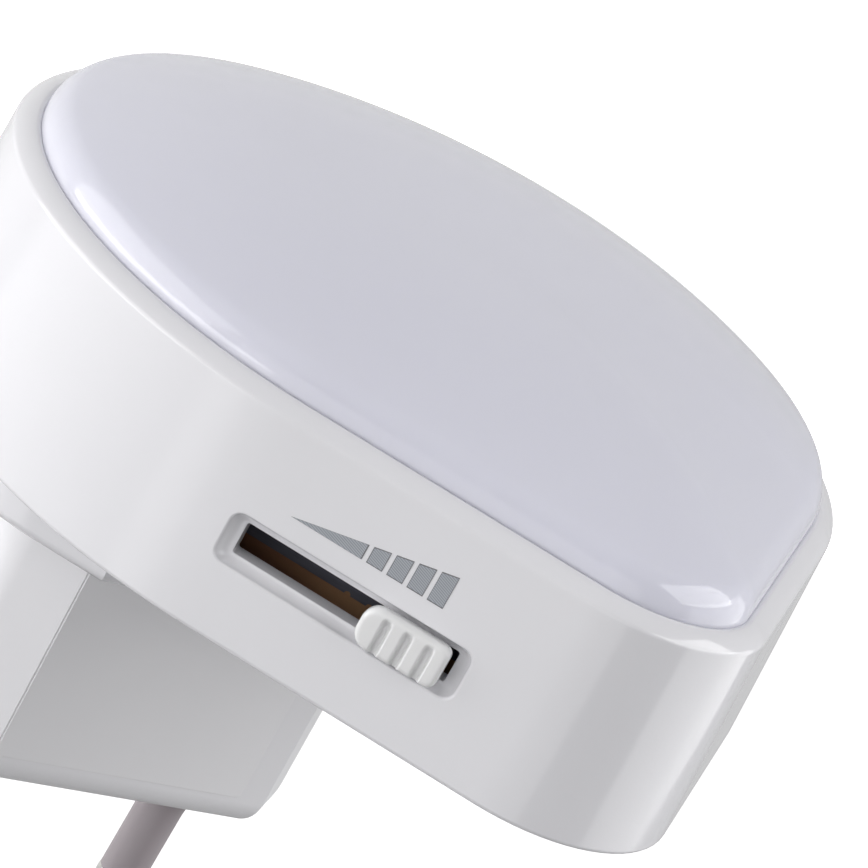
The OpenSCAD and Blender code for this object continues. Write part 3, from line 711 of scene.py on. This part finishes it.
def make_pin(name, side):
    """Round-nosed contact pin with its thinner core inside the sleeve and its collar in the plug."""
    r, core = PIN_D / 2, CORE_D / 2
    nose = [(x, -PIN_LEN + r - y) for x, y in arc(r, 90, 0, 10)]
    nose[0] = (0, -PIN_LEN)
    ring = [(r, -SLEEVE_LEN - 0.15 * MM), (r - 0.15 * MM, -SLEEVE_LEN), (core, -SLEEVE_LEN)]
    collar_end = COLLAR_AT + COLLAR_T
    tail = [(core, COLLAR_AT), (COLLAR_R, COLLAR_AT), (COLLAR_R, collar_end), (core, collar_end),
            (core, PIN_TAIL), (0, PIN_TAIL)]
    return round_solid(name, nose + ring + tail, pin_place(side), 64)


def make_sleeve(name, side):
    """Insulating sleeve that flares softly where it enters the plug."""
    r, flare, bore = SLEEVE_D / 2, FLARE_D / 2, CORE_D / 2 + 0.05 * MM
    rise = [(r + (flare - r) * smooth_step(t, 0, 1), -FLARE_LEN * (1 - t)) for t in (i / 8 for i in range(9))]
    end = [(r - 0.12 * MM, -SLEEVE_LEN), (r, -SLEEVE_LEN + 0.12 * MM)]
    back = [(flare, PLUG_FLOOR - FIT), (bore, PLUG_FLOOR - FIT), (bore, -SLEEVE_LEN)]
    profile = end + rise + back
    return round_solid(name, profile + profile[:1], pin_place(side), 64)


# ---------------------------------------------------------------- dimmer

def smooth_step(x, low, high):
    t = min(max((x - low) / (high - low), 0), 1)
    return t * t * (3 - 2 * t)


def corner_r(s):
    """Corner radius of the thumb piece's outline at its lower and its upper end."""
    return KNOB_LOW_R if s < 0 else KNOB_HIGH_R


def knob_height(s, t):
    """Height of the thumb piece above the wall: round edges, and grooves that run out towards the room."""
    r = corner_r(s)
    qx, qy = abs(s) - KNOB_LEN / 2 + r, abs(t) - KNOB_W / 2 + r
    inside = r - math.hypot(max(qx, 0), max(qy, 0)) - min(max(qx, qy), 0)
    short = max(KNOB_EDGE_R - inside, 0)
    edge = KNOB_PROUD - KNOB_EDGE_R + math.sqrt(max(KNOB_EDGE_R ** 2 - short ** 2, 0))
    near = min(abs(s - RIB_SHIFT - i * RIB_PITCH) for i in (-1, 0, 1))
    depth = GROOVE_DEPTH * (1 - smooth_step(t, *(KNOB_W / 2 - fade for fade in GROOVE_FADE)))
    floor = KNOB_PROUD - depth * (1 - smooth_step(near, GROOVE_FLOOR, GROOVE_TOP))
    blend = max(GROOVE_BLEND - abs(edge - floor), 0) / GROOVE_BLEND
    return min(edge, floor) - blend * blend * GROOVE_BLEND / 4


def make_knob():
    """The thumb piece: a grid over its rounded outline, closed down to the stem in the slot."""
    across, length = 41, 161
    bm = bmesh.new()

    def point(i, j):
        s = KNOB_LEN / 2 * math.sin(math.pi * (i / (length - 1) - 0.5))
        r = corner_r(s)
        over = max(abs(s) - KNOB_LEN / 2 + r, 0)
        half = KNOB_W / 2 - r + math.sqrt(max(r ** 2 - over ** 2, 0))
        return s, half * math.sin(math.pi * (j / (across - 1) - 0.5))

    grid = [[point(i, j) for j in range(across)] for i in range(length)]
    top = [[bm.verts.new(slot_place(-knob_height(s, t), KNOB_ALONG + s, t)) for s, t in row] for row in grid]
    for i in range(length - 1):
        for j in range(across - 1):
            bm.faces.new((top[i][j], top[i + 1][j], top[i + 1][j + 1], top[i][j + 1]))
    walk = [(i, 0) for i in range(length - 1)] + [(length - 1, j) for j in range(across - 1)]
    walk += [(length - 1 - i, across - 1) for i in range(length - 1)]
    walk += [(0, across - 1 - j) for j in range(across - 1)]
    rings = [[top[i][j] for i, j in walk]]
    stem_s, stem_t = STEM_LEN / KNOB_LEN, STEM_W / KNOB_W
    for depth, ks, kt in ((0, 1, 1), (KNOB_BACK - 0.1 * MM, 1, 1), (KNOB_BACK, 0.97, 0.94),
                          (KNOB_BACK, stem_s, stem_t), (STEM_DEPTH, stem_s, stem_t)):
        rings.append([bm.verts.new(slot_place(depth, KNOB_ALONG + ks * grid[i][j][0], kt * grid[i][j][1]))
                      for i, j in walk])
    for low, high in zip(rings, rings[1:]):
        for i in range(len(walk)):
            bm.faces.new((low[i], low[(i + 1) % len(walk)], high[(i + 1) % len(walk)], high[i]))
    bm.faces.new(rings[-1])
    return new_piece("thumb_piece", bm, 50)


def scale_outline():
    """The printed wedge and its bars as lists of (along, above the base line)."""
    def rise(s):
        return SCALE_SLOPE * (s - SCALE_START)

    gap = SCALE_GAP
    bar = (SCALE_END - BAR_FROM + gap) / BAR_COUNT - gap
    wedge_end = BAR_FROM - gap
    shapes = [[(SCALE_START, 0), (wedge_end, 0), (wedge_end, rise(wedge_end))]]
    for i in range(BAR_COUNT):
        start = BAR_FROM + i * (bar + gap)
        shapes.append([(start, 0), (start + bar, 0), (start + bar, rise(start + bar)), (start, rise(start))])
    return shapes


def make_scale():
    """Printed wedge and bars, each with a rim attribute that is 1 on its outline."""
    bm = bmesh.new()
    rim = bm.verts.layers.float.new("rim")

    def row(shape, shrink, height, value):
        mid = Vector((sum(p[0] for p in shape), sum(p[1] for p in shape))) / len(shape)
        out = []
        for p in shape:
            q = Vector(p) + (mid - Vector(p)).normalized() * shrink
            up = q.y + SCALE_UP - SLOT_UP
            v = bm.verts.new(slot_place(wall_lean(up) - height, q.x, up))
            v[rim] = value
            out.append(v)
        return out

    for shape in scale_outline():
        rows = [row(shape, 0, -0.05 * MM, 1), row(shape, 0, PRINT_T, 1), row(shape, RIM_LINE, PRINT_T, 1),
                row(shape, 1.5 * RIM_LINE, PRINT_T, 0)]
        for low, high in zip(rows, rows[1:]):
            for i in range(len(shape)):
                j = (i + 1) % len(shape)
                bm.faces.new((low[i], low[j], high[j], high[i]))
        bm.faces.new(rows[-1])
        bm.faces.new(rows[0])
    return new_piece("printed_scale", bm, 20)


# ---------------------------------------------------------------- screws

def screw_tree():
    """Geometry nodes: a pan-head screw with a cross recess and its shank on every point of the mesh."""
    tree = bpy.data.node_groups.new("cover_screw_set", "GeometryNodeTree")
    tree.interface.new_socket("Points", in_out="INPUT", socket_type="NodeSocketGeometry")
    names = ("Head radius", "Head height", "Shank radius", "Length", "Recess width")
    sockets = {n: tree.interface.new_socket(n, in_out="INPUT", socket_type="NodeSocketFloat") for n in names}
    tree.interface.new_socket("Finish", in_out="INPUT", socket_type="NodeSocketMaterial")
    tree.interface.new_socket("Screws", in_out="OUTPUT", socket_type="NodeSocketGeometry")

    def add(kind, settings=None, **inputs):
        made = tree.nodes.new(kind)
        for key, value in (settings or {}).items():
            setattr(made, key, value)
        for key, value in inputs.items():
            link(value, made.inputs[key.replace("_", " ")])
        return made

    def link(value, socket):
        if isinstance(value, bpy.types.NodeSocket):
            tree.links.new(value, socket)
        else:
            socket.default_value = value

    def times(value, factor):
        made = tree.nodes.new("ShaderNodeMath")
        made.operation = "MULTIPLY"
        link(value, made.inputs[0])
        link(factor, made.inputs[1])
        return made.outputs[0]

    def box(x, y, z):
        size = add("ShaderNodeCombineXYZ", X=x, Y=y, Z=z).outputs[0]
        return add("GeometryNodeMeshCube", Size=size).outputs["Mesh"]

    def moved(geometry, z):
        place = add("ShaderNodeCombineXYZ", Z=z).outputs[0]
        return add("GeometryNodeTransform", Geometry=geometry, Translation=place).outputs[0]

    given = tree.nodes.new("NodeGroupInput").outputs
    head_r, head_h = given["Head radius"], given["Head height"]
    head = add("GeometryNodeMeshCone", {"fill_type": "NGON"}, Vertices=48, Side_Segments=3,
               Radius_Top=times(head_r, 0.9), Radius_Bottom=head_r, Depth=head_h).outputs["Mesh"]
    head = moved(head, times(head_h, -1.0))
    reach, recess = times(head_r, 1.1), given["Recess width"]
    cross = add("GeometryNodeJoinGeometry")
    for x, y in ((reach, recess), (recess, reach)):
        tree.links.new(box(x, y, times(head_h, 1.2)), cross.inputs[0])
    carved = add("GeometryNodeMeshBoolean", {"operation": "DIFFERENCE"}, Mesh_1=head)
    tree.links.new(cross.outputs[0], carved.inputs["Mesh 2"])
    shank = add("GeometryNodeMeshCylinder", Vertices=32, Radius=given["Shank radius"],
                Depth=given["Length"]).outputs["Mesh"]
    whole = add("GeometryNodeJoinGeometry")
    for part in (carved.outputs[0], moved(shank, times(given["Length"], -0.5))):
        tree.links.new(part, whole.inputs[0])
    turn = add("FunctionNodeAxesToRotation", {"primary_axis": "Z", "secondary_axis": "X"})
    turn.inputs[0].default_value = (0, 1, 0)
    turn.inputs[1].default_value = (0.9, 0, 0.4)
    placed = add("GeometryNodeInstanceOnPoints", Points=given["Points"], Instance=whole.outputs[0],
                 Rotation=turn.outputs[0])
    real = add("GeometryNodeRealizeInstances", Geometry=placed.outputs[0])
    dressed = add("GeometryNodeSetMaterial", Geometry=real.outputs[0], Material=given["Finish"])
    out = tree.nodes.new("NodeGroupOutput")
    tree.links.new(dressed.outputs[0], out.inputs[0])
    return tree, {n: s.identifier for n, s in sockets.items()}


def make_cover_screws(finish):
    mesh = bpy.data.meshes.new("cover_screw_heads")
    mesh.from_pydata([(x, BACK_Y, z) for x, z in cover_screw_places()], [], [])
    piece = bpy.data.objects.new("cover_screw_heads", mesh)
    bpy.context.scene.collection.objects.link(piece)
    tree, ids = screw_tree()
    m = piece.modifiers.new("screws", "NODES")
    m.node_group = tree
    sizes = {"Head radius": SCREW_HEAD_R, "Head height": SCREW_WELL_T, "Shank radius": SCREW_SHANK_R,
             "Length": SCREW_LEN, "Recess width": RECESS_W}
    for name, value in sizes.items():
        m[ids[name]] = value
    material_id = next(s.identifier for s in tree.interface.items_tree if s.name == "Finish")
    m[material_id] = finish.material
    evaluated(piece)
    piece.data.shade_smooth()
    piece.data.set_sharp_from_angle(angle=math.radians(30))
    return piece


# ---------------------------------------------------------------- finishes

def opal(name):
    """Milky diffuser: glossy, with a faint cool cast and light that spreads inside it."""
    f = Finish(name, subsurface_weight=0.6, subsurface_radius=(1.0, 1.0, 1.0), subsurface_scale=1.5 * MM)
    place = f.place()
    cloud = f.noise(place, 18 * MM, detail=2.0)
    f.put("Base Color", f.mix(cloud.step(0.25, 0.75), tuple(0.99 * c for c in OPAL), OPAL))
    f.put("Roughness", 0.07 + 0.03 * (cloud - 0.5))
    f.bump(f.noise(place, 0.4 * MM, detail=2.0), 0.001 * MM)
    return f


def print_ink(name):
    """Grey print in fine slanting lines, darker along its outline."""
    f = Finish(name, roughness=0.45)
    x, y, z = f.split(f.place())
    along = (z - x) * (1 / math.sqrt(2))
    across = y * -1
    weave = ((along * 0.35 + across) * (math.tau / HALFTONE)).math("SINE")
    lines = weave.step(-0.6, 0.6)
    rim = f.node("ShaderNodeAttribute", "Fac", {"attribute_name": "rim"}).step(0.3, 0.7)
    body = f.mix(lines, INK_DARK, INK_LIGHT)
    f.put("Base Color", f.mix(rim, body, INK_RIM))
    f.put("Roughness", 0.45 + 0.1 * (lines - 0.5))
    return f


def pressed_film(name, color):
    """Dull carbon film with fine drag marks along the slot."""
    f = Finish(name, roughness=0.35)
    x, y, z = f.split(f.place())
    along = (z - x) * (1 / math.sqrt(2))
    flow = f.node("ShaderNodeCombineXYZ", "Vector", {}, along * 0.1, y, z + x)
    drag = f.noise(flow, 0.12 * MM, detail=3.0)
    f.put("Base Color", f.mix(drag, tuple(0.8 * c for c in color), tuple(1.25 * c for c in color)))
    f.put("Roughness", 0.34 + 0.1 * (drag - 0.5))
    return f


def phenolic(name, dark, light):
    """Brown resin board with painted shade: dark at the slot's end away from the tip, where the end wall
    shades it, and lightening along the slot.
    """
    f = Finish(name, roughness=0.4)
    place = f.place()
    x, _, z = f.split(place)
    along = (z - HEAD_UP - x) * (1 / math.sqrt(2))
    fibre = f.noise(f.scaled(place, (1.0, 6.0, 1.0)), 0.5 * MM, detail=4.0)
    # painted shade: 0 at the slot's end away from the tip, rising to 1 along the slot
    painted_shading = along.step(SLOT_ALONG - SLOT_LEN / 2, SLOT_ALONG + 0.2 * SLOT_LEN)
    f.put("Base Color", f.mix((painted_shading + 0.3 * (fibre - 0.5)).math("MAXIMUM", 0.0), dark, light))
    f.put("Roughness", 0.4 + 0.1 * (fibre - 0.5))
    f.bump(fibre, 0.004 * MM)
    return f


def banded(name, color, bands, axis_place, half_width):
    """A resistor's lacquer with colour bands across its length."""
    f = Finish(name, roughness=0.35, coat_weight=0.3)
    x, _, _ = f.split(f.place())
    tone = None
    for place, band in zip(axis_place, bands):
        mask = (x - place).math("ABSOLUTE").step(half_width * 1.1, half_width * 0.9)
        tone = f.mix(mask, tone if tone else color, band)
    f.put("Base Color", tone)
    return f


def glass_board(name, color, trace):
    """Lacquered circuit board with a darker weave and faint tracks."""
    f = Finish(name, roughness=0.35, coat_weight=0.4, coat_roughness=0.2)
    place = f.place()
    x, _, z = f.split(place)
    weave = (x * (math.tau / (0.5 * MM))).math("SINE") * (z * (math.tau / (0.5 * MM))).math("SINE")
    cells = f.node("ShaderNodeTexVoronoi", "Distance", {"feature": "DISTANCE_TO_EDGE"}, Vector=place,
                   Scale=1 / (3.5 * MM))
    tone = f.mix(cells.step(0.05, 0.12), trace, color)
    f.put("Base Color", f.mix(weave * 0.15, tone, tuple(0.5 * c for c in color)))
    f.bump(cells.step(0.02, 0.12), 0.01 * MM)
    return f


def insulated(name, color):
    """Extruded wire insulation with slight waviness."""
    f = Finish(name, roughness=0.4)
    wave = f.noise(f.place(), 1.2 * MM, detail=2.0)
    f.put("Base Color", f.mix(wave, tuple(0.85 * c for c in color), color))
    f.put("Roughness", 0.4 + 0.1 * (wave - 0.5))
    return f


def phosphor(name):
    """Yellow phosphor window in a white chip."""
    f = Finish(name, roughness=0.5)
    grit = f.noise(f.place(), 0.1 * MM, detail=3.0)
    f.put("Base Color", f.mix(grit, (0.75, 0.60, 0.16), (0.90, 0.80, 0.34)))
    f.bump(grit, 0.01 * MM)
    return f


# ---------------------------------------------------------------- the object

white = moulded("gloss_white", WHITE, 0.14, coat=0.3)
thumb_white = moulded("thumb_white", (0.84, 0.84, 0.845), 0.25, grain=0.15 * MM, coat=0.2)
plug_white = moulded("plug_white", (0.84, 0.835, 0.86), 0.34, grain=0.35 * MM, depth=0.006 * MM)
label_white = moulded("label_satin", (0.85, 0.845, 0.865), 0.4, grain=0.2 * MM)
sleeve_grey = moulded("sleeve_grey", (0.38, 0.34, 0.36), 0.35, grain=0.3 * MM)
tray_white = moulded("tray_white", (0.85, 0.85, 0.85), 0.5)
lens_opal = opal("lens_opal")
pin_plated = plated("pin_nickel", (0.78, 0.77, 0.74), 0.22, (40.0, 2.0, 40.0))
steel = plated("zinc_steel", (0.66, 0.66, 0.67), 0.32, (1.0, 12.0, 1.0))
brass = plated("lug_brass", (0.80, 0.62, 0.30), 0.3, (1.0, 8.0, 1.0), wear=(0.45, 0.30, 0.14))
bronze = plated("spring_bronze", (0.78, 0.52, 0.26), 0.28, (6.0, 1.0, 6.0), wear=(0.40, 0.24, 0.12))

settle(make_housing(), white, "root", "housing_white", "front_housing")
settle(make_lens(), lens_opal, "root", "lens_opal", "diffuser_lens")
settle(make_back(), white, "root", "housing_white", "rear_cover")
settle(make_plug(), plug_white, "root", "plug_white", "plug_body")
settle(make_label(), label_white, "root", "rating_label", "rating_plate")
for word, side in (("left", -1), ("right", 1)):
    settle(make_pin(f"contact_{word}", side), pin_plated, "root", "pin_metal", f"pin_{word}")
    settle(make_sleeve(f"sleeve_{word}", side), sleeve_grey, "root", "pin_sleeve", f"pin_sleeve_{word}")
settle(make_knob(), thumb_white, "dimmer", "housing_white", "slider_knob")
settle(make_scale(), print_ink("scale_ink"), "root", "scale_grey", "dimmer_scale")
settle(make_cover_screws(steel), steel, "root", "steel_screw", "cover_screws")

for node in ("plug_screws", "led_board_screws", "potentiometer_screws", "power_board_screws", "slider_lever",
             "potentiometer_case"):
    paint(node, steel)
for node in ("pin_lugs", "potentiometer_terminals"):
    paint(node, brass)
paint("wiper_spring", bronze)
paint("pin_carrier", plug_white)
paint("reflector_tray", tray_white)
paint("led_board", glass_board("board_white", (0.82, 0.82, 0.80), (0.70, 0.70, 0.68)))
paint("power_board", glass_board("board_green", (0.03, 0.16, 0.06), (0.06, 0.28, 0.12)))
paint("led_chips", phosphor("led_phosphor"))
paint("wiper_carriage", moulded("carriage_black", (0.02, 0.02, 0.022), 0.45))
paint("potentiometer_board", phenolic("phenolic_brown", BROWN_SHADED, BROWN_LIT))
paint("carbon_track", pressed_film("carbon_film", CARBON))
paint("film_capacitor", moulded("box_red", (0.36, 0.03, 0.025), 0.35, coat=0.2))
paint("reservoir_capacitor", moulded("can_sleeve", (0.02, 0.03, 0.12), 0.3, coat=0.3))
paint("bridge_rectifier", moulded("chip_black", (0.015, 0.015, 0.016), 0.55))
paint("fusible_resistor", banded("lacquer_green", (0.10, 0.30, 0.16),
                                 ((0.30, 0.12, 0.04), (0.02, 0.02, 0.02), (0.55, 0.42, 0.08)),
                                 (-0.0095, -0.0075, -0.005), 0.35 * MM))
paint("discharge_resistor", banded("lacquer_tan", (0.62, 0.46, 0.28),
                                   ((0.30, 0.12, 0.04), (0.40, 0.03, 0.02), (0.55, 0.42, 0.08)),
                                   (-0.009, -0.0075, -0.0055), 0.3 * MM))
for node, color in (("live_wire", (0.16, 0.06, 0.03)), ("neutral_wire", (0.03, 0.10, 0.42)),
                    ("led_wires", (0.45, 0.03, 0.03)), ("dimmer_wires", (0.62, 0.46, 0.04))):
    paint(node, insulated(f"{node}_skin", color))


# ---------------------------------------------------------------- floor, light and camera

def make_floor():
    """A wide pale floor under the object, light enough to vanish into the background."""
    bm = bmesh.new()
    bmesh.ops.create_grid(bm, x_segments=1, y_segments=1, size=FLOOR_SIZE)
    for v in bm.verts:
        v.co.z = CAD_BOX[0][2] - FLOOR_DROP
    floor = new_piece("floor", bm)
    f = Finish("floor_pale", base_color=(0.9, 0.9, 0.9), roughness=0.9, emission_strength=1.0)
    direct = f.node("ShaderNodeLightPath", "Is Camera Ray", {})
    f.put("Emission Color", f.mix(direct, (FLOOR_GLOW,) * 3, (1.0, 1.0, 1.0)))
    floor.data.materials.append(f.material)


def area_light(name, place, target, width, height, energy):
    """A soft panel aimed at a point. Its height runs the way that the head faces."""
    data = bpy.data.lights.new(name, "AREA")
    data.shape = "RECTANGLE"
    data.size, data.size_y = width, height
    data.energy = energy
    lamp = bpy.data.objects.new(name, data)
    back = (place - target).normalized()
    side = Vector((0, -1, 0)).cross(back).normalized()
    turn = Matrix((side, back.cross(side), back)).transposed().to_4x4()
    lamp.matrix_world = Matrix.Translation(place) @ turn
    lamp.visible_camera = False
    bpy.context.scene.collection.objects.link(lamp)


def make_camera():
    back = Vector(CAMERA_BACK).normalized()
    up = Vector(CAMERA_UP)
    up = (up - back * up.dot(back)).normalized()
    right = up.cross(back)
    data = bpy.data.cameras.new("camera")
    data.sensor_width = 36
    data.lens = CAMERA_LENS
    data.clip_start = 0.01
    camera = bpy.data.objects.new("camera", data)
    camera.matrix_world = Matrix((right, up, back)).transposed().to_4x4()
    camera.location = CAMERA_PLACE
    bpy.context.scene.collection.objects.link(camera)
    bpy.context.scene.camera = camera
    return camera


def seen(right, up, back, distance):
    """A place given along the camera's own directions from the middle of the head."""
    middle = Vector((0, (BACK_Y + FACE_Y) / 2, head_mid().y))
    return middle + camera.matrix_world.to_3x3() @ Vector((right, up, back)) * distance


def make_world():
    """Pale walls that are bright up to a little above the horizon and fall to dark overhead."""
    world = bpy.data.worlds.new("studio")
    world.use_nodes = True
    tree = world.node_tree
    place = tree.nodes.new("ShaderNodeTexCoord")
    split = tree.nodes.new("ShaderNodeSeparateXYZ")
    ramp = tree.nodes.new("ShaderNodeValToRGB")
    background = tree.nodes["Background"]
    for link in ((place.outputs["Generated"], split.inputs[0]), (split.outputs["Z"], ramp.inputs[0]),
                 (ramp.outputs[0], background.inputs["Color"])):
        tree.links.new(*link)
    stops = ramp.color_ramp.elements
    while len(stops) < len(WORLD_TONES):
        stops.new(0.5)
    for stop, (height, tone) in zip(stops, WORLD_TONES):
        stop.position = height
        stop.color = (tone, tone, tone, 1)
    background.inputs["Strength"].default_value = WORLD_STRENGTH
    bpy.context.scene.world = world


camera = make_camera()
make_floor()
centre = seen(0, 0, 0, 0)
for name, toward, width, height, energy in LIGHTS:
    area_light(name, seen(*toward, LIGHT_DISTANCE), centre, width, height, energy)

make_world()
bpy.context.scene.view_settings.view_transform = "Standard"
